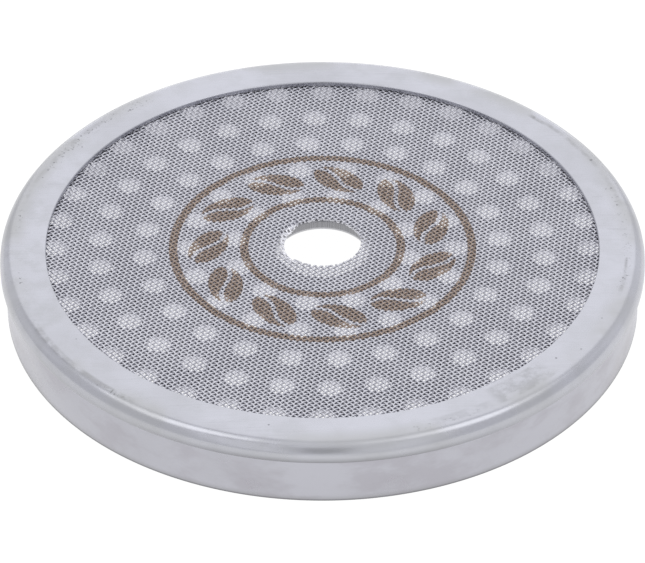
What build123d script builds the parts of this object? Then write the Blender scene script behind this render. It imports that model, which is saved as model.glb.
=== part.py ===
# Shower screen of an espresso machine, lying with its mesh face up and its skirt down.
# Millimetres, +Z up. The origin is the centre of the circle that the skirt stands on.
import os

from build123d import *

# Rim ring: a pressed sheet ring that clamps the edge of the mesh
rim_radius = 30.0
rim_width = 4.3
rim_sheet = 0.45
rim_depth = 1.85
rim_shoulder = 1.3
rim_edge_land = 0.15
rim_lip = 0.12
overall_height = 6.5

# Perforated cup: a drawn sheet with the holes in its floor and the skirt as its wall
cup_sheet = 0.45
cup_bend = 0.95
cup_clearance = 0.05
throat_radius = 4.3
throat_sheet = 0.35
throat_depth = 1.15
throat_entry = 0.15
hole_radius = 1.1
hole_sides = 10
hole_margin = 0.86
first_ring = 2
last_ring = 6
holes_per_step = 6
pattern_turn = 20.0

# Woven screen: wire cloth laid on the floor of the cup, drawn as a web with ridges and gaps
screen_thickness = 0.3
ridge_height = 0.12
ridge_spacing = 5.4
ridge_width = 1.8
weave_turn = 37.0
gap_side = 1.3
screen_edge_margin = 0.1
clamp_overlap = 0.2
cloth_overhang = 0.7
screen_hole_shift = 0.6
hole_rim_width = 0.25

# Heights and radii that follow from the sizes above. The holes fill the floor up to a margin
# inside the lip of the ring, and the cloth overhangs the throat a little.
rim_inner_radius = rim_radius - rim_width
rim_bottom = overall_height - rim_depth
screen_top = overall_height - rim_sheet
floor_top = screen_top - screen_thickness
floor_bottom = floor_top - cup_sheet
skirt_radius = rim_radius - rim_sheet - cup_clearance
screen_radius = skirt_radius - cup_bend - screen_edge_margin
field_radius = rim_inner_radius + clamp_overlap
ring_spacing = (rim_inner_radius - hole_margin) / last_ring
screen_hole_radius = throat_radius - cloth_overhang
ridge_count = 2 * int(field_radius / ridge_spacing) + 1

os.makedirs("parts", exist_ok=True)


def ring_locations(ring):
    """Places of the holes in one ring of the pattern, which starts on one common radius."""
    return PolarLocations(ring * ring_spacing, ring * holes_per_step, start_angle=pattern_turn)


# The ring is one strip with an L-shaped section. Its shoulder is a full round, its lower edge
# is turned in towards the skirt, and the lip round the mesh is only eased. The bends that lie
# hidden between ring and cup are drawn as plain bevels.
with BuildPart() as rim_ring:
    with BuildSketch(Plane.XZ) as rim_section:
        with BuildLine():
            Polyline(
                (rim_inner_radius, overall_height),
                (rim_radius, overall_height),
                (rim_radius, rim_bottom),
                (rim_radius - rim_sheet, rim_bottom),
                (rim_radius - rim_sheet, screen_top),
                (rim_inner_radius, screen_top),
                close=True,
            )
        make_face()
        outer_corner = rim_section.vertices().sort_by_distance((rim_radius, overall_height))[0]
        fillet(outer_corner, rim_shoulder)
        lower_corner = rim_section.vertices().sort_by_distance((rim_radius, rim_bottom))[0]
        chamfer(lower_corner, rim_sheet - rim_edge_land)
        inner_corner = rim_section.vertices().sort_by_distance((rim_radius - rim_sheet, screen_top))[0]
        chamfer(inner_corner, rim_shoulder - rim_sheet)
        lip_corner = rim_section.vertices().sort_by_distance((rim_inner_radius, overall_height))[0]
        chamfer(lip_corner, rim_lip)
    revolve(axis=Axis.Z)
rim_ring.part.label = "rim_ring"
export_step(rim_ring.part, "parts/rim_ring.step")

# The cup is drawn from one sheet: a flat floor, a bend and a straight skirt. The screw hole in
# its middle is flanged down as a short throat, and rings of holes fill the floor. Each hole is
# round on the real sheet, and here a polygon close to that circle.
with BuildPart() as perforated_cup:
    with BuildSketch(Plane.XZ) as cup_section:
        with BuildLine():
            Polyline(
                (throat_radius, floor_top),
                (skirt_radius, floor_top),
                (skirt_radius, 0),
                (skirt_radius - cup_sheet, 0),
                (skirt_radius - cup_sheet, floor_bottom),
                (throat_radius + throat_sheet, floor_bottom),
                (throat_radius + throat_sheet, floor_top - throat_depth),
                (throat_radius, floor_top - throat_depth),
                close=True,
            )
        make_face()
        bend_outside = cup_section.vertices().sort_by_distance((skirt_radius, floor_top))[0]
        chamfer(bend_outside, cup_bend)
        bend_inside = cup_section.vertices().sort_by_distance((skirt_radius - cup_sheet, floor_bottom))[0]
        chamfer(bend_inside, cup_bend - cup_sheet)
        throat_mouth = cup_section.vertices().sort_by_distance((throat_radius, floor_top))[0]
        chamfer(throat_mouth, throat_entry)
    revolve(axis=Axis.Z)
    with BuildSketch(Plane.XY.offset(floor_top)):
        for ring in range(first_ring, last_ring + 1):
            with ring_locations(ring):
                RegularPolygon(hole_radius, hole_sides)
    extrude(amount=-cup_sheet, mode=Mode.SUBTRACT)
perforated_cup.part.label = "perforated_cup"
export_step(perforated_cup.part, "parts/perforated_cup.step")

# The cloth is one web. Crossing ridges stand for its wires, and a square gap lies over each
# hole of the floor. The edge that the ring clamps and the cut round the screw hole are pressed
# flat. The cut sits a little behind the centre, so the cloth overhangs the throat in front.
with BuildPart() as woven_screen:
    with BuildSketch(Plane.XY.offset(floor_top)):
        Circle(screen_radius)
        for ring in range(first_ring, last_ring + 1):
            with ring_locations(ring):
                Rectangle(gap_side, gap_side, mode=Mode.SUBTRACT)
        with Locations((0, screen_hole_shift)):
            Circle(screen_hole_radius, mode=Mode.SUBTRACT)
    extrude(amount=screen_thickness)
    with BuildSketch(Plane.XY.offset(screen_top)):
        Circle(field_radius)
        for turn in (weave_turn, weave_turn + 90):
            with Locations(Location((0, 0, 0), (0, 0, turn))):
                with GridLocations(0, ridge_spacing, 1, ridge_count):
                    Rectangle(2 * screen_radius, ridge_width, mode=Mode.SUBTRACT)
        with Locations((0, screen_hole_shift)):
            Circle(screen_hole_radius + hole_rim_width, mode=Mode.SUBTRACT)
    extrude(amount=-ridge_height, mode=Mode.SUBTRACT)
woven_screen.part.label = "woven_screen"
export_step(woven_screen.part, "parts/woven_screen.step")
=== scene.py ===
import math

import bpy
import numpy as np
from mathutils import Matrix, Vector


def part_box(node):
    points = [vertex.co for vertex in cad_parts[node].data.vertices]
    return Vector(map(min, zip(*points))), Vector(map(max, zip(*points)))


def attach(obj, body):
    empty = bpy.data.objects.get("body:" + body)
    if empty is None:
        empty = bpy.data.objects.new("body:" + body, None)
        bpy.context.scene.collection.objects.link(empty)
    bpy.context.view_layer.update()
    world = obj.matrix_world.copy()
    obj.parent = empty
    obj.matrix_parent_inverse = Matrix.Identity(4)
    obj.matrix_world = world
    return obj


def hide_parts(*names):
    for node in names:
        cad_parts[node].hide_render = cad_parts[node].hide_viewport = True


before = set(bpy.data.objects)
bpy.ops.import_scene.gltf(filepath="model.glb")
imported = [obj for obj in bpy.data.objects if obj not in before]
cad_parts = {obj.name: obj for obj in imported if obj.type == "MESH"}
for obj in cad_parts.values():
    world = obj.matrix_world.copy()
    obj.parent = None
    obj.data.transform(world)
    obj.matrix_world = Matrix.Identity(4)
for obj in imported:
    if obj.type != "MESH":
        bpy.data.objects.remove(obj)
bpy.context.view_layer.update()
bpy.ops.object.select_all(action="DESELECT")

# The camera stands in front of the screen and looks down on it through a long lens. The lens is
# shifted a little, so that the screen sits in the frame as it does in the photograph.
photo_width_px = 645
focal_length_px = 4797
origin_below_middle_px = 15.8
sensor_width_mm = 36.0
camera_distance = 0.450
camera_pitch = math.radians(37.91)

camera_data = bpy.data.cameras.new("camera")
camera = bpy.data.objects.new("camera", camera_data)
bpy.context.scene.collection.objects.link(camera)
camera_data.sensor_width = sensor_width_mm
camera_data.lens = sensor_width_mm * focal_length_px / photo_width_px
camera_data.shift_y = origin_below_middle_px / photo_width_px
camera_data.clip_start = 0.01
camera.location = (0, -camera_distance * math.cos(camera_pitch), camera_distance * math.sin(camera_pitch))
camera.rotation_euler = (math.pi / 2 - camera_pitch, 0, 0)
bpy.context.scene.camera = camera


# Rim ring: one pressed strip of stainless sheet. It is flat on top and rolls over a round
# shoulder, and its lower edge is turned in against the skirt, so it clamps the cloth to the cup.
mm = 0.001
rim_low, rim_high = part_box("rim_ring")
_, cloth_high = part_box("woven_screen")
rim_radius = rim_high.x
rim_top = rim_high.z
rim_bottom = rim_low.z
cloth_top = cloth_high.z
rim_sheet = rim_top - cloth_top
rim_wall_radius = rim_radius - rim_sheet
rim_shoulder = 1.3 * mm
rim_turned_edge = 0.3 * mm
rim_inner_bend = 0.85 * mm
lip_radius = 25.7 * mm
lip_edge = 0.12 * mm
round_sides = 256
sheet_smooth_angle = 35
# Least and most strength of the painted shade along the seam under the rim.
least_seam_shade = 0.42
most_seam_shade = 1.10


def start_ring(name, radius, height):
    """Adds a ring of vertices as a new object, in edit mode, with the ring selected."""
    bpy.ops.mesh.primitive_circle_add(vertices=round_sides, radius=radius, location=(0, 0, height))
    piece = bpy.context.object
    piece.name = name
    bpy.ops.object.transform_apply(location=True, rotation=True, scale=True)
    bpy.ops.object.mode_set(mode="EDIT")
    bpy.ops.mesh.select_mode(type="VERT")
    bpy.ops.mesh.select_all(action="SELECT")
    return piece


def carry_ring(old, new):
    """Extrudes the selected ring from one (radius, height) of the section to the next."""
    bpy.ops.mesh.extrude_region_move(TRANSFORM_OT_translate={"value": (0, 0, new[1] - old[1])})
    share = new[0] / old[0]
    bpy.ops.transform.resize(value=(share, share, 1), center_override=(0, 0, new[1]))


def select_places(piece, test):
    """Selects the vertices whose x, y and z pass the test, and stays in edit mode."""
    bpy.ops.mesh.select_mode(type="VERT")
    bpy.ops.object.mode_set(mode="OBJECT")
    mesh = piece.data
    places = np.empty(3 * len(mesh.vertices))
    mesh.vertices.foreach_get("co", places)
    mesh.polygons.foreach_set("select", np.zeros(len(mesh.polygons), dtype=bool))
    mesh.edges.foreach_set("select", np.zeros(len(mesh.edges), dtype=bool))
    mesh.vertices.foreach_set("select", test(*places.reshape(-1, 3).T))
    bpy.ops.object.mode_set(mode="EDIT")


def at_corner(radius, height):
    """A test for the vertices on the ring at this corner of the section."""
    near = 0.01 * mm
    return lambda x, y, z: (abs(np.hypot(x, y) - radius) < near) & (abs(z - height) < near)


def round_corner(piece, radius, height, size, steps):
    """Rounds one corner of the section all the way round."""
    select_places(piece, at_corner(radius, height))
    bpy.ops.mesh.bevel(offset_type="OFFSET", offset=size, segments=steps, profile=0.5, affect="EDGES")


def face_outwards():
    """Turns all faces of the piece in edit mode outwards."""
    bpy.ops.mesh.select_mode(type="VERT")
    bpy.ops.mesh.select_all(action="SELECT")
    bpy.ops.mesh.normals_make_consistent(inside=False)


def smooth_piece(piece, angle):
    """Leaves edit mode and smooths the piece between faces that meet at less than the angle."""
    bpy.ops.object.mode_set(mode="OBJECT")
    bpy.ops.object.select_all(action="DESELECT")
    piece.select_set(True)
    bpy.context.view_layer.objects.active = piece
    bpy.ops.object.shade_smooth_by_angle(angle=math.radians(angle))
    piece.select_set(False)


rim_section = [
    (lip_radius, cloth_top),
    (lip_radius, rim_top),
    (rim_radius, rim_top),
    (rim_radius, rim_bottom),
    (rim_wall_radius, rim_bottom),
    (rim_wall_radius, cloth_top),
]
rim = start_ring("pressed_rim", *rim_section[0])
for old, new in zip(rim_section, rim_section[1:]):
    carry_ring(old, new)
is_first = at_corner(*rim_section[0])
is_last = at_corner(*rim_section[-1])
select_places(rim, lambda x, y, z: is_first(x, y, z) | is_last(x, y, z))
bpy.ops.mesh.select_mode(type="EDGE")
bpy.ops.mesh.bridge_edge_loops()
face_outwards()
round_corner(rim, rim_radius, rim_top, rim_shoulder, steps=12)
round_corner(rim, rim_radius, rim_bottom, rim_turned_edge, steps=5)
round_corner(rim, rim_wall_radius, cloth_top, rim_inner_bend, steps=4)
round_corner(rim, lip_radius, rim_top, lip_edge, steps=4)
smooth_piece(rim, sheet_smooth_angle)


def new_material(name):
    """A node material with one Principled shader."""
    material = bpy.data.materials.new(name)
    material.use_nodes = True
    tree = material.node_tree
    tree.nodes.clear()
    output = tree.nodes.new("ShaderNodeOutputMaterial")
    shader = tree.nodes.new("ShaderNodeBsdfPrincipled")
    tree.links.new(shader.outputs["BSDF"], output.inputs["Surface"])
    return material, tree, shader


def add_node(tree, kind, inputs=(), **settings):
    """A node with its settings, whose inputs are set to values or linked to sockets."""
    node = tree.nodes.new(kind)
    for key, value in settings.items():
        setattr(node, key, value)
    for key, value in dict(inputs).items():
        if isinstance(value, bpy.types.NodeSocket):
            tree.links.new(value, node.inputs[key])
        else:
            node.inputs[key].default_value = value
    return node


def calculate(tree, operation, *values):
    """The result of a Math node."""
    return add_node(tree, "ShaderNodeMath", enumerate(values), operation=operation).outputs[0]


def product(tree, result, *others):
    """The product of two or more values."""
    for other in others:
        result = calculate(tree, "MULTIPLY", result, other)
    return result


def total(tree, result, *others):
    """The sum of two or more values."""
    for other in others:
        result = calculate(tree, "ADD", result, other)
    return result


def smooth_step(tree, value, low, high, low_result=0.0, high_result=1.0):
    """Carries a value smoothly from one range to another and holds it at both ends."""
    return add_node(
        tree, "ShaderNodeMapRange",
        {"Value": value, "From Min": low, "From Max": high, "To Min": low_result, "To Max": high_result},
        interpolation_type="SMOOTHSTEP").outputs["Result"]


def between(tree, value, low, high, soft):
    """A soft mask that is 1 where the value lies between two limits."""
    rise = smooth_step(tree, value, low - soft, low + soft)
    fall = smooth_step(tree, value, high - soft, high + soft, 1.0, 0.0)
    return product(tree, rise, fall)


def tint(tree, factor, below, above):
    """Lays one colour over another by a factor from 0 to 1."""
    # The Mix node has its factor at place 0 and its two colours at places 6 and 7.
    node = add_node(tree, "ShaderNodeMix", {0: factor}, data_type="RGBA")
    for socket, colour in ((node.inputs[6], below), (node.inputs[7], above)):
        if isinstance(colour, bpy.types.NodeSocket):
            tree.links.new(colour, socket)
        else:
            socket.default_value = (*colour, 1)
    return node.outputs[2]


def noise(tree, place, per_metre, detail=3.0, roughness=0.5):
    """Soft noise with so many features in a metre."""
    return add_node(
        tree, "ShaderNodeTexNoise",
        {"Vector": place, "Scale": per_metre, "Detail": detail, "Roughness": roughness}).outputs["Fac"]


def place_on_piece(tree, stretch=(1, 1, 1), turn=0.0):
    """The place on the piece in metres, turned about Z and stretched."""
    place = tree.nodes.new("ShaderNodeTexCoord").outputs["Object"]
    turned = add_node(tree, "ShaderNodeMapping", {"Vector": place, "Rotation": (0, 0, turn)})
    return add_node(
        tree, "ShaderNodeMapping", {"Vector": turned.outputs["Vector"], "Scale": stretch}).outputs["Vector"]


def axes_of_piece(tree):
    """The x, y and z of the place on the piece."""
    return add_node(tree, "ShaderNodeSeparateXYZ", {"Vector": place_on_piece(tree)}).outputs


def round_places(tree, middle=(0, 0)):
    """The distance from an upright axis, the angle round it and the height."""
    axes = axes_of_piece(tree)
    x = calculate(tree, "SUBTRACT", axes[0], middle[0])
    y = calculate(tree, "SUBTRACT", axes[1], middle[1])
    squares = total(tree, product(tree, x, x), product(tree, y, y))
    return calculate(tree, "SQRT", squares), calculate(tree, "ARCTAN2", y, x), axes[2]


def pressed_sheet(tree, light, dark):
    """Colour, clouds of tone and relief of pressed stainless sheet, faintly drawn in one direction."""
    clouds = noise(tree, place_on_piece(tree), per_metre=110, detail=3)
    lines = noise(tree, place_on_piece(tree, (1, 22, 22)), per_metre=260, detail=2)
    tone = total(tree, product(tree, clouds, 0.85), product(tree, lines, 0.15))
    colour = tint(tree, smooth_step(tree, tone, 0.36, 0.62), dark, light)
    dents = noise(tree, place_on_piece(tree), per_metre=160, detail=1)
    grain = noise(tree, place_on_piece(tree), per_metre=7000, detail=2)
    relief = total(tree, product(tree, dents, 60.0), product(tree, grain, 0.5))
    return colour, clouds, relief


def finish_sheet(tree, shader, colour, roughness, relief):
    """Sets up the shader of a bare metal sheet."""
    tree.links.new(colour, shader.inputs["Base Color"])
    shader.inputs["Metallic"].default_value = 1.0
    tree.links.new(roughness, shader.inputs["Roughness"])
    bump = add_node(tree, "ShaderNodeBump", {"Strength": 0.10, "Distance": 0.02 * mm, "Height": relief})
    tree.links.new(bump.outputs["Normal"], shader.inputs["Normal"])


def seam_shade_strength(tree, angle):
    """Strength of the painted shade along the seam between rim and skirt: most at the front and back."""
    swing = calculate(tree, "ABSOLUTE", calculate(tree, "SINE", angle))
    return smooth_step(tree, swing, 0.80, 1.02, least_seam_shade, most_seam_shade)


def arc_patch(tree, radius, angle, first, last, inner, outer, soft):
    """A soft mask over one stretch of the ring, with its angles in degrees and its radii in mm."""
    arc = between(tree, angle, math.radians(first), math.radians(last), math.radians(soft))
    return product(tree, arc, between(tree, radius, inner * mm, outer * mm, 0.15 * mm))


def rubbed_arcs(tree, colour, radius, angle):
    """Dark rubbed arcs near the shoulder: the angles, radii and strength of each."""
    uneven = noise(tree, place_on_piece(tree), per_metre=700, detail=4, roughness=0.6)
    uneven = smooth_step(tree, uneven, 0.35, 0.60)
    for first, last, inner, outer, strength in (
            (41.8, 45.2, 28.20, 28.60, 0.60),
            (27.7, 41.0, 28.35, 28.75, 0.35),
            (12.0, 27.0, 28.40, 28.80, 0.18),
            (-8.6, -4.6, 28.15, 28.35, 0.45),
            (-16.0, -10.0, 28.10, 28.50, 0.25),
            (134.0, 158.0, 28.30, 28.80, 0.22),
            (158.0, 168.0, 28.50, 28.90, 0.18),
            (-156.0, -140.0, 28.60, 29.20, 0.30),
            (-139.0, -126.0, 28.60, 29.10, 0.40),
            (-56.0, -43.0, 26.20, 28.60, 0.28),
            (-70.0, -58.0, 27.60, 28.60, 0.15)):
        patch = arc_patch(tree, radius, angle, first, last, inner, outer, soft=1.2)
        colour = tint(tree, product(tree, patch, uneven, strength), colour, (0.16, 0.16, 0.15))
    return colour


def speckled_arcs(tree, colour, radius, angle, fine):
    """Stretches of the ring with fine dark specks: the angles, radii and strength of each."""
    specks = smooth_step(tree, fine, 0.58, 0.66)
    for first, last, inner, outer, strength in (
            (170.3, 175.9, 28.35, 28.85, 1.00),
            (126.0, 156.0, 27.80, 28.70, 0.70),
            (-14.0, 18.0, 27.90, 28.70, 0.40),
            (-170.8, -167.0, 28.25, 28.55, 1.00),
            (-167.5, -163.5, 28.35, 28.65, 1.00),
            (-134.0, -128.0, 28.80, 29.20, 0.90),
            (-74.0, -60.0, 28.10, 28.90, 0.30)):
        patch = arc_patch(tree, radius, angle, first, last, inner, outer, soft=1.0)
        colour = tint(tree, product(tree, patch, specks, strength), colour, (0.08, 0.08, 0.08))
    return colour


def small_dots(tree, colour, fine):
    """Single dark dots with ragged edges: the x, y and radius of each in mm."""
    for dot_x, dot_y, size in (
            (25.54, 12.90, 0.14), (27.23, 8.43, 0.10), (27.66, 5.78, 0.10), (27.67, -5.43, 0.10),
            (-22.94, 15.00, 0.08), (-23.11, 16.79, 0.10), (-24.62, 14.03, 0.09), (-25.51, 12.50, 0.09),
            (-26.02, 11.30, 0.08), (-26.49, 10.11, 0.08), (-18.55, 21.05, 0.12), (-4.77, -26.72, 0.09),
            (-22.32, -14.49, 0.06), (23.37, -15.95, 0.08), (21.06, -17.25, 0.10), (25.47, -11.42, 0.07)):
        distance = round_places(tree, (dot_x * mm, dot_y * mm))[0]
        ragged = total(tree, distance, product(tree, fine, 0.12 * mm))
        dot = smooth_step(tree, ragged, (size + 0.02) * mm, (size + 0.10) * mm, 0.6, 0.0)
        colour = tint(tree, dot, colour, (0.12, 0.12, 0.13))
    return colour


def scratches(tree, colour, x, y):
    """Four short scratches along X, and faint ones all over that run nearly the same way."""
    half_width = 0.04
    for left, right, line_y, strength in (
            (25.40, 26.40, 7.10, 0.15),
            (26.55, 28.40, 2.03, 0.20),
            (-26.00, -24.30, 9.07, 0.25),
            (-29.20, -27.25, 1.41, 0.20)):
        length = between(tree, x, left * mm, right * mm, 0.10 * mm)
        width = between(tree, y, (line_y - half_width) * mm, (line_y + half_width) * mm, 0.04 * mm)
        colour = tint(tree, product(tree, length, width, strength), colour, (0.16, 0.16, 0.17))
    faint = noise(tree, place_on_piece(tree, (1, 45, 45), math.radians(-3)), per_metre=120, detail=1)
    faint = smooth_step(tree, faint, 0.66, 0.70, 0.0, 0.07)
    return tint(tree, faint, colour, (0.25, 0.25, 0.27))


def rim_steel():
    """Cool grey sheet, mottled and duller along its outer band, with the marks of handling and painted
    shade along its lower edge.
    """
    material, tree, shader = new_material("rim_steel")
    colour, clouds, relief = pressed_sheet(tree, (0.510, 0.515, 0.560), (0.460, 0.464, 0.500))
    radius, angle, height = round_places(tree)
    x, y, _ = axes_of_piece(tree)
    mottle = noise(tree, place_on_piece(tree), per_metre=420, detail=4, roughness=0.6)
    mottle = smooth_step(tree, mottle, 0.42, 0.66)
    more_on_the_left = smooth_step(tree, x, -26 * mm, -19 * mm, 0.36, 0.20)
    colour = tint(tree, product(tree, mottle, more_on_the_left), colour, (0.375, 0.380, 0.390))
    patches = noise(tree, place_on_piece(tree), per_metre=130, detail=4)
    patches = smooth_step(tree, patches, 0.40, 0.62)
    dull = product(tree, between(tree, radius, 28.0 * mm, 29.9 * mm, 1.0 * mm), patches)
    colour = tint(tree, product(tree, dull, 0.70), colour, (0.415, 0.418, 0.420))

    fine = noise(tree, place_on_piece(tree), per_metre=3600, detail=4, roughness=0.7)
    colour = rubbed_arcs(tree, colour, radius, angle)
    colour = speckled_arcs(tree, colour, radius, angle, fine)
    colour = small_dots(tree, colour, fine)
    colour = scratches(tree, colour, x, y)

    # Painted shade: the rim darkens towards its lower edge against the skirt, most at the front and back.
    seam = smooth_step(tree, height, rim_bottom + 0.10 * mm, rim_bottom + 0.80 * mm, 0.60, 0.0)
    colour = tint(tree, product(tree, seam, seam_shade_strength(tree, angle)), colour, (0.20, 0.20, 0.21))
    rough = total(tree, product(tree, clouds, 0.10), product(tree, dull, 0.08), 0.20)
    finish_sheet(tree, shader, colour, rough, relief)
    return material


rim.data.materials.append(rim_steel())
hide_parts("rim_ring")
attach(rim, "root")


# Perforated cup: drawn from one stainless sheet. Its wall is the skirt that the screen stands on,
# rings of punched holes fill its floor, and the screw hole in its middle is flanged down.
_, cup_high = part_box("perforated_cup")
cup_radius = cup_high.x
cup_sheet = 0.45 * mm
cup_bend = 0.95 * mm
cup_foot_edge = 0.08 * mm
floor_top = cup_high.z
floor_bottom = floor_top - cup_sheet
throat_radius = 4.3 * mm
throat_sheet = 0.35 * mm
throat_bottom = floor_top - 0.95 * mm
throat_entry = 0.15 * mm
throat_sides = 96
hole_radius = 1.1 * mm
hole_sides = 32
first_ring = 2
last_ring = 6
ring_spacing = 4.14 * mm
holes_per_step = 6
pattern_turn = math.radians(20)
overlap = 0.1 * mm

bpy.ops.mesh.primitive_cylinder_add(
    vertices=round_sides, radius=cup_radius, depth=floor_top, location=(0, 0, floor_top / 2))
cup = bpy.context.object
cup.name = "punched_cup"
bpy.ops.object.transform_apply(location=True, rotation=True, scale=True)
bpy.ops.object.mode_set(mode="EDIT")
select_places(cup, lambda x, y, z: z < cup_sheet)
bpy.ops.mesh.select_mode(type="FACE")
bpy.ops.mesh.inset(thickness=cup_sheet, depth=0)
bpy.ops.mesh.extrude_region_move(TRANSFORM_OT_translate={"value": (0, 0, floor_bottom)})
round_corner(cup, cup_radius, floor_top, cup_bend, steps=8)
round_corner(cup, cup_radius - cup_sheet, floor_bottom, cup_bend - cup_sheet, steps=6)
round_corner(cup, cup_radius, 0, cup_foot_edge, steps=2)
bpy.ops.object.mode_set(mode="OBJECT")


def add_post(radius, low, high, middle, sides):
    """Adds an upright closed cylinder, to join to a piece or to cut it with."""
    bpy.ops.mesh.primitive_cylinder_add(
        vertices=sides, radius=radius, depth=high - low, location=(*middle, (low + high) / 2))
    bpy.ops.object.transform_apply(location=True, rotation=True, scale=True)
    return bpy.context.object


def combine(piece, tool, operation):
    """Changes a piece by one boolean with a tool, and leaves the tool as it is."""
    bpy.ops.object.select_all(action="DESELECT")
    bpy.context.view_layer.objects.active = piece
    piece.select_set(True)
    modifier = piece.modifiers.new(operation.lower(), "BOOLEAN")
    modifier.operation = operation
    modifier.solver = "EXACT"
    modifier.object = tool
    bpy.ops.object.modifier_apply(modifier=modifier.name)


def punch(piece, tool):
    """Cuts a tool out of a piece and takes the tool away."""
    combine(piece, tool, "DIFFERENCE")
    bpy.data.objects.remove(tool)


flange = add_post(
    throat_radius + throat_sheet, throat_bottom, floor_bottom + overlap, (0, 0), throat_sides)
combine(cup, flange, "UNION")
bpy.data.objects.remove(flange)
punch(cup, add_post(throat_radius, throat_bottom - overlap, floor_top + overlap, (0, 0), throat_sides))
first_pin = add_post(hole_radius, floor_bottom - overlap, floor_top + overlap, (0, 0), hole_sides)
pins = []
for ring in range(first_ring, last_ring + 1):
    holes = holes_per_step * ring
    for step in range(holes):
        angle = pattern_turn + 2 * math.pi * step / holes
        pin = bpy.data.objects.new("pin", first_pin.data.copy())
        pin.location = (ring * ring_spacing * math.cos(angle), ring * ring_spacing * math.sin(angle), 0)
        bpy.context.scene.collection.objects.link(pin)
        pins.append(pin)
bpy.data.objects.remove(first_pin)
bpy.ops.object.select_all(action="DESELECT")
for pin in pins:
    pin.select_set(True)
bpy.context.view_layer.objects.active = pins[0]
bpy.ops.object.transform_apply(location=True, rotation=True, scale=True)
bpy.ops.object.join()
punch(cup, pins[0])
bpy.ops.object.mode_set(mode="EDIT")
round_corner(cup, throat_radius, floor_top, throat_entry, steps=3)
smooth_piece(cup, sheet_smooth_angle)


def throat_wall(tree, angle, height):
    """Colour of the throat: sheet with upright streaks, darkened by painted shade, and a painted highlight
    along the lip at its lower end.
    """
    drawn = add_node(tree, "ShaderNodeCombineXYZ", {"X": product(tree, angle, 40.0)})
    streaks = smooth_step(tree, noise(tree, drawn.outputs[0], 1, 2), 0.35, 0.65)
    # Painted shade over the streaked sheet of the wall, then a painted highlight on the lower lip.
    wall = tint(tree, streaks, (0.25, 0.25, 0.26), (0.35, 0.35, 0.37))
    lip = between(tree, height, throat_bottom, throat_bottom + 0.16 * mm, 0.03 * mm)
    return tint(tree, lip, wall, (0.50, 0.50, 0.52))


def cup_steel():
    """Satin drawn sheet with smears: painted light on the floor, painted shade and a painted highlight in
    the throat, and painted shade along the seam and towards the cut lower edge.
    """
    material, tree, shader = new_material("cup_steel")
    colour, clouds, relief = pressed_sheet(tree, (0.490, 0.490, 0.535), (0.445, 0.444, 0.482))
    radius, angle, height = round_places(tree)
    smears = noise(tree, place_on_piece(tree, (1, 1, 2)), per_metre=190, detail=4, roughness=0.6)
    smears = smooth_step(tree, smears, 0.44, 0.64, 0.0, 0.6)
    colour = tint(tree, smears, colour, (0.400, 0.388, 0.425))
    # Painted shade: the skirt darkens towards its foot, and more in a thin line at the very bottom.
    foot_shade = smooth_step(tree, height, 0.05 * mm, 0.75 * mm, 1.0, 0.0)
    colour = tint(tree, product(tree, foot_shade, 0.55), colour, (0.30, 0.30, 0.31))
    foot_edge_shade = smooth_step(tree, height, 0.06 * mm, 0.30 * mm, 0.85, 0.0)
    colour = tint(tree, foot_edge_shade, colour, (0.17, 0.17, 0.18))
    # Painted shade: a thin dark line on the skirt just under the rim's edge, as strong as the seam shade
    # there.
    seam = between(tree, height, rim_bottom - 0.25 * mm, rim_bottom + 0.2 * mm, 0.05 * mm)
    crevice_shade_depth = smooth_step(tree, seam_shade_strength(tree, angle), least_seam_shade, most_seam_shade, 0.10, 0.65)
    colour = tint(tree, product(tree, seam, crevice_shade_depth), colour, (0.22, 0.22, 0.23))
    # Painted light: the floor under the cloth is lightened, to lift the shade seen between the wires.
    inside = smooth_step(tree, radius, lip_radius + 0.5 * mm, lip_radius + 0.8 * mm, 1.0, 0.0)
    above = smooth_step(tree, height, floor_bottom - 0.02 * mm, floor_bottom + 0.02 * mm)
    colour = tint(tree, product(tree, inside, above), colour, (0.80, 0.80, 0.85))
    # The throat takes the painted shade and the painted lip highlight of throat_wall.
    throat = smooth_step(tree, radius, throat_radius + 0.15 * mm, throat_radius + 0.25 * mm, 1.0, 0.0)
    colour = tint(tree, throat, colour, throat_wall(tree, angle, height))
    finish_sheet(tree, shader, colour, smooth_step(tree, clouds, 0.3, 0.7, 0.26, 0.36), relief)
    return material


cup.data.materials.append(cup_steel())
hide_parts("perforated_cup")
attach(cup, "root")


# Wire cloth: a disc of plain-weave stainless wire, cut out of the sheet at a slant to its wires.
# It lies on the cup under the rim. Its cut round the screw hole sits a little to the back, and on
# the left the wire ends are pressed down into the throat. A brown laser mark rings the hole.
cloth_thickness = cloth_top - floor_top
cloth_middle = (cloth_top + floor_top) / 2
cloth_radius = 26.4 * mm
weave_turn = math.radians(37)
wire_pitch = 0.416 * mm
wire_width = 0.205 * mm
wire_height = 0.66 * cloth_thickness
wire_sides = 6
wire_smooth_angle = 70
crimp = (cloth_thickness - wire_height) / 2
pitches = 2 * math.ceil(cloth_radius / (2 * wire_pitch))
cut_radius = 3.60 * mm
cut_middle = (0.0, 0.68 * mm)
cut_sides = 28

cloth_cutter = add_post(cloth_radius, floor_top - overlap, cloth_top + overlap, (0, 0), round_sides // 2)
punch(cloth_cutter, add_post(
    cut_radius, floor_top - 2 * overlap, cloth_top + 2 * overlap, cut_middle, cut_sides))


def repeat(piece, step, count):
    """Repeats the piece along one step, and joins the ends that touch."""
    modifier = piece.modifiers.new("array", "ARRAY")
    modifier.use_relative_offset = False
    modifier.use_constant_offset = True
    modifier.constant_offset_displace = step
    modifier.count = count
    modifier.use_merge_vertices = True
    modifier.merge_threshold = 0.002 * mm
    bpy.ops.object.modifier_apply(modifier=modifier.name)


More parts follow.
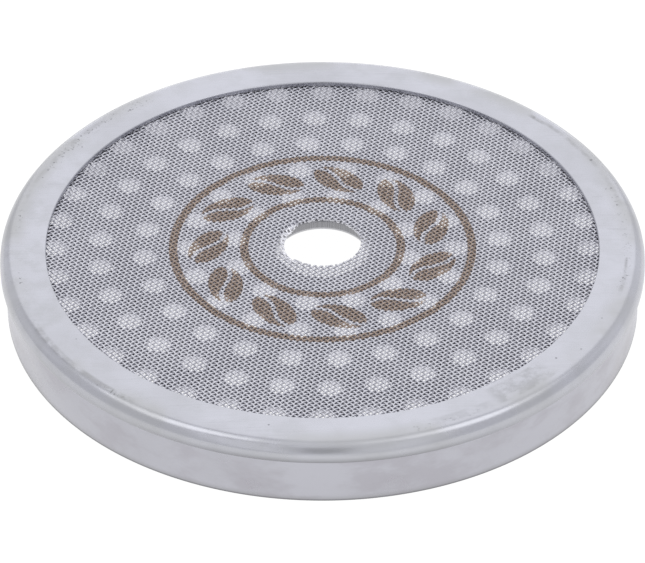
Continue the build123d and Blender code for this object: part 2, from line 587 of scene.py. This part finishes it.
def crimped_wire(name):
    """One wire along X, two pitches long, bent up in its middle and down at both ends."""
    bpy.ops.object.select_all(action="DESELECT")
    bpy.ops.mesh.primitive_cylinder_add(
        vertices=wire_sides, radius=wire_width / 2, depth=2 * wire_pitch, end_fill_type="NOTHING",
        rotation=(0, math.pi / 2, 0))
    wire = bpy.context.object
    wire.name = name
    bpy.ops.object.transform_apply(location=True, rotation=True, scale=True)
    bpy.ops.object.mode_set(mode="EDIT")
    for place in (-wire_pitch / 2, 0, wire_pitch / 2):
        bpy.ops.mesh.select_all(action="SELECT")
        bpy.ops.mesh.bisect(plane_co=(place, 0, 0), plane_no=(1, 0, 0))
    bpy.ops.mesh.select_all(action="SELECT")
    bpy.ops.transform.resize(value=(1, 1, wire_height / wire_width), center_override=(0, 0, 0))
    select_places(wire, lambda x, y, z: abs(x) < overlap)
    bpy.ops.transform.translate(value=(0, 0, crimp))
    select_places(wire, lambda x, y, z: abs(x) > wire_pitch - overlap)
    bpy.ops.transform.translate(value=(0, 0, -crimp))
    bpy.ops.object.mode_set(mode="OBJECT")
    return wire


def press_ends(wires):
    """Presses the wire ends on the left of the cut down, in steps of reach, side and drop in mm."""
    bpy.ops.object.mode_set(mode="EDIT")
    for reach, side, drop in ((0.62, 2.3, 0.07), (0.42, 2.5, 0.14), (0.22, 2.7, 0.16)):
        select_places(wires, lambda x, y, z: (x < -side * mm) & (
            np.hypot(x - cut_middle[0], y - cut_middle[1]) < cut_radius + reach * mm))
        bpy.ops.transform.translate(value=(0, 0, -drop * mm))


def crimped_wires(name, turn, first_across):
    """Half of the wires that run one way: one wire, repeated, turned and trimmed to the disc."""
    wires = crimped_wire(name)
    repeat(wires, (wire_pitch, wire_pitch, 0), 2)
    repeat(wires, (2 * wire_pitch, 0, 0), pitches + 1)
    repeat(wires, (0, 2 * wire_pitch, 0), pitches // 2)
    bpy.ops.object.mode_set(mode="EDIT")
    bpy.ops.mesh.select_all(action="SELECT")
    bpy.ops.transform.translate(
        value=((0.5 - pitches - 1) * wire_pitch, (0.5 + first_across) * wire_pitch, cloth_middle))
    bpy.ops.mesh.select_all(action="SELECT")
    bpy.ops.mesh.fill_holes(sides=wire_sides)
    face_outwards()
    bpy.ops.object.mode_set(mode="OBJECT")
    wires.rotation_euler = (0, 0, turn)
    bpy.ops.object.transform_apply(location=True, rotation=True, scale=True)
    combine(wires, cloth_cutter, "INTERSECT")
    press_ends(wires)
    smooth_piece(wires, wire_smooth_angle)
    return wires


def bean_ring(tree, beans, ring_radius, length, width, slant):
    """A mask of slanted oval beans in a ring, each with a curved crease along its middle."""
    radius, angle, _ = round_places(tree)
    share = 2 * math.pi / beans
    step = calculate(tree, "SUBTRACT", calculate(tree, "FLOORED_MODULO", angle, share), share / 2)
    along = product(tree, radius, calculate(tree, "SINE", step))
    outward = product(tree, radius, calculate(tree, "COSINE", step))
    outward = calculate(tree, "SUBTRACT", outward, ring_radius)
    cosine, sine = math.cos(slant), math.sin(slant)
    u = total(tree, product(tree, along, cosine), product(tree, outward, sine))
    v = calculate(tree, "SUBTRACT", product(tree, outward, cosine), product(tree, along, sine))
    squares = []
    for value, half in ((u, length / 2), (v, width / 2)):
        reach = calculate(tree, "ABSOLUTE", calculate(tree, "DIVIDE", value, half))
        squares.append(calculate(tree, "POWER", reach, 2))
    oval = smooth_step(tree, total(tree, *squares), 0.97, 1.03, 1.0, 0.0)
    crease_swing = 2.6
    wave = calculate(tree, "SINE", product(tree, u, crease_swing / (length / 2)))
    wave = product(tree, wave, 0.16 * width)
    off_crease = calculate(tree, "ABSOLUTE", calculate(tree, "SUBTRACT", v, wave))
    return product(tree, oval, smooth_step(tree, off_crease, 0.19 * mm, 0.25 * mm))


def wire_cloth():
    """Drawn stainless wire, tinted brown by a laser in two bands with a ring of beans between."""
    material, tree, shader = new_material("wire_cloth")
    patches = noise(tree, place_on_piece(tree), per_metre=220, detail=3)
    fine = noise(tree, place_on_piece(tree), per_metre=2500, detail=2)
    radius, _, height = round_places(tree)
    # Painted highlight: the tops of the wires are lighter than their flanks, which leaves the flanks as
    # painted shade.
    crest_highlight = smooth_step(tree, height, cloth_top - 0.055 * mm, cloth_top - 0.010 * mm)
    dull = tint(tree, smooth_step(tree, patches, 0.35, 0.65), (0.510, 0.510, 0.550), (0.570, 0.570, 0.610))
    colour = tint(tree, crest_highlight, dull, (0.680, 0.680, 0.725))
    mark = bean_ring(
        tree, beans=11, ring_radius=10.6 * mm, length=5.3 * mm, width=3.2 * mm, slant=math.radians(28))
    for inner, outer in ((6.9, 7.7), (13.5, 14.3)):
        mark = calculate(tree, "MAXIMUM", mark, between(tree, radius, inner * mm, outer * mm, 0.04 * mm))
    brown = tint(tree, smooth_step(tree, fine, 0.3, 0.7), (0.290, 0.228, 0.188), (0.410, 0.338, 0.292))
    worn = product(tree, mark, smooth_step(tree, crest_highlight, 0.0, 1.0, 1.0, 0.8))
    struck = smooth_step(tree, height, floor_top + 0.08 * mm, floor_top + 0.17 * mm)
    colour = tint(tree, product(tree, worn, struck), colour, brown)
    # Painted light: the lower sides of the wires are lightened, so they show bright over the holes.
    lit_underside = smooth_step(tree, height, floor_top + 0.04 * mm, floor_top + 0.15 * mm, 1.0, 0.0)
    colour = tint(tree, lit_underside, colour, (0.860, 0.860, 0.900))
    tree.links.new(colour, shader.inputs["Base Color"])
    shader.inputs["Metallic"].default_value = 1.0
    rough = smooth_step(tree, patches, 0.3, 0.7, 0.32, 0.40)
    rough = total(tree, rough, product(tree, mark, 0.12))
    tree.links.new(rough, shader.inputs["Roughness"])
    return material


cloth_material = wire_cloth()
for direction, turn in (("warp", weave_turn), ("weft", weave_turn + math.pi / 2)):
    for side, first_across in (("front", -pitches), ("back", 0)):
        wires = crimped_wires(f"{direction}_wires_{side}", turn, first_across)
        wires.data.materials.append(cloth_material)
        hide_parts("woven_screen")
        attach(wires, "root")
bpy.data.objects.remove(cloth_cutter)


# Floor and light: a plain white table that glows a little. Soft panels stand behind, in front and
# at the back corners, and two boxes hang high on the left and right. A grey board just behind the
# camera is what the front of the shoulder mirrors.
def matt_surface(name, grey):
    """A material of one matt grey, with its shader."""
    material, _, shader = new_material(name)
    shader.inputs["Base Color"].default_value = (grey, grey, grey, 1)
    shader.inputs["Roughness"].default_value = 0.9
    return material, shader


table_material, table_shader = matt_surface("white_table", 0.10)
table_shader.inputs["Emission Color"].default_value = (1, 1, 1, 1)
table_shader.inputs["Emission Strength"].default_value = 0.95
bpy.ops.mesh.primitive_plane_add(size=6, location=(0, 0, 0))
floor = bpy.context.object
floor.name = "floor"
floor.data.materials.append(table_material)

board_material, _ = matt_surface("board_grey", 0.20)
board_place = camera.location * 1.08 + Vector((0, -0.018, -0.022))
bpy.ops.mesh.primitive_plane_add(size=1, location=board_place)
board = bpy.context.object
board.name = "camera_board"
board.scale = (0.12, 0.40, 1)
board.rotation_euler = camera.rotation_euler
board.data.materials.append(board_material)


def soft_panel(name, width, height, place, power):
    """A flat area light that faces the middle of the screen."""
    light = bpy.data.lights.new(name, "AREA")
    light.shape = "RECTANGLE"
    light.size = width
    light.size_y = height
    light.energy = power
    panel = bpy.data.objects.new(name, light)
    panel.location = place
    panel.rotation_euler = Vector(place).to_track_quat("Z", "Y").to_euler()
    bpy.context.scene.collection.objects.link(panel)


soft_panel("back_panel", 1.0, 1.0, (0.0, 0.85, 0.66), 1.34)
soft_panel("low_back_panel", 0.8, 0.14, (0.0, 0.95, 0.07), 0.30)
soft_panel("front_panel", 1.2, 0.9, (0.0, -0.72, 0.56), 0.90)
soft_panel("left_back_panel", 0.8, 0.6, (-0.85, 0.60, 0.38), 0.20)
soft_panel("right_back_panel", 0.8, 0.6, (0.85, 0.60, 0.38), 0.20)
soft_panel("left_box", 0.48, 0.48, (-0.40, 0.0, 0.91), 0.72)
soft_panel("right_box", 0.48, 0.48, (0.40, 0.0, 0.91), 0.72)

world = bpy.data.worlds.new("studio")
world.use_nodes = True
background = world.node_tree.nodes["Background"]
background.inputs["Color"].default_value = (0.96, 0.965, 1.0, 1)
background.inputs["Strength"].default_value = 0.88
bpy.context.scene.world = world
bpy.context.scene.view_settings.view_transform = "Standard"
